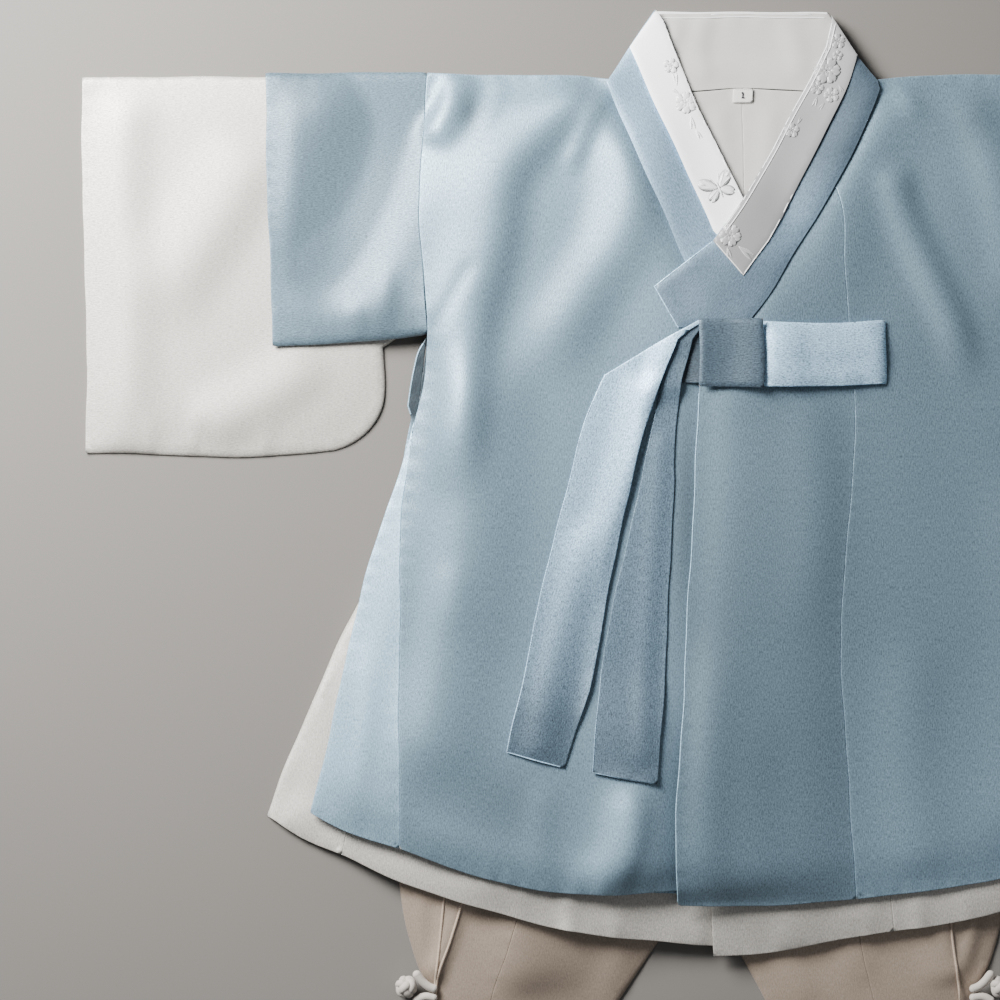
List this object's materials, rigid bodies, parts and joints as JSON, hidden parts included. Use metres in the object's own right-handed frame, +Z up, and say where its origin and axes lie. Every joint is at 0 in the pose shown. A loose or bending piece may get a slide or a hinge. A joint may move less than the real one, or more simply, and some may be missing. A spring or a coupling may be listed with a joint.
{
  "type": "korean hanbok",
  "caption": "Small child's hanbok set laid flat: pale-blue half-sleeved coat with tie over an ivory wide-sleeved robe and beige trousers with ankle knot buttons.",
  "frame": {"origin": "middle of the set's outline on the surface it lies on", "axes": "+X across the sleeves towards the wearer's left, +Y towards the collar, +Z up out of the surface, through the layers"},
  "size_m": [0.7294, 0.5676, 0.0232],
  "materials": {
    "coat_satin": "pale-blue satin, soft sheen",
    "robe_satin": "ivory satin, soft sheen",
    "trousers_satin": "beige satin, soft sheen",
    "collar_brocade": "white figured satin",
    "lining": "ivory lining, matt",
    "label_tape": "white woven tape",
    "knot_cord": "white cloth cord"
  },
  "bodies": {
    "root": {"coat_back_left": "coat_satin", "coat_back_right": "coat_satin", "coat_collar_back": "lining", "coat_collar_left": "coat_satin", "coat_collar_right": "coat_satin", "coat_front_left": "coat_satin", "coat_front_right": "coat_satin", "coat_gore_back_left": "coat_satin", "coat_gore_back_right": "coat_satin", "coat_gore_front_left": "coat_satin", "coat_gore_front_right": "coat_satin", "coat_label": "label_tape", "coat_lining_left": "lining", "coat_lining_right": "lining", "coat_overlap_left": "coat_satin", "coat_sleeve_left": "coat_satin", "coat_sleeve_right": "coat_satin", "coat_strip_back": "collar_brocade", "coat_strip_left": "collar_brocade", "coat_strip_right": "collar_brocade", "knot_ball_left": "knot_cord", "knot_ball_right": "knot_cord", "knot_loop_left": "knot_cord", "knot_loop_right": "knot_cord", "robe_back_left": "robe_satin", "robe_back_right": "robe_satin", "robe_collar_back": "robe_satin", "robe_collar_left": "robe_satin", "robe_collar_right": "robe_satin", "robe_front_left": "robe_satin", "robe_front_right": "robe_satin", "robe_gore_left": "robe_satin", "robe_gore_right": "robe_satin", "robe_overlap_left": "robe_satin", "robe_sleeve_left": "robe_satin", "robe_sleeve_right": "robe_satin", "tie_band": "coat_satin", "tie_knot": "coat_satin", "tie_loop": "coat_satin", "tie_tail_back": "coat_satin", "tie_tail_front": "coat_satin", "trousers_inner_left": "trousers_satin", "trousers_inner_right": "trousers_satin", "trousers_outer_left": "trousers_satin", "trousers_outer_right": "trousers_satin", "trousers_waistband": "trousers_satin"}
  },
  "joints": []
}
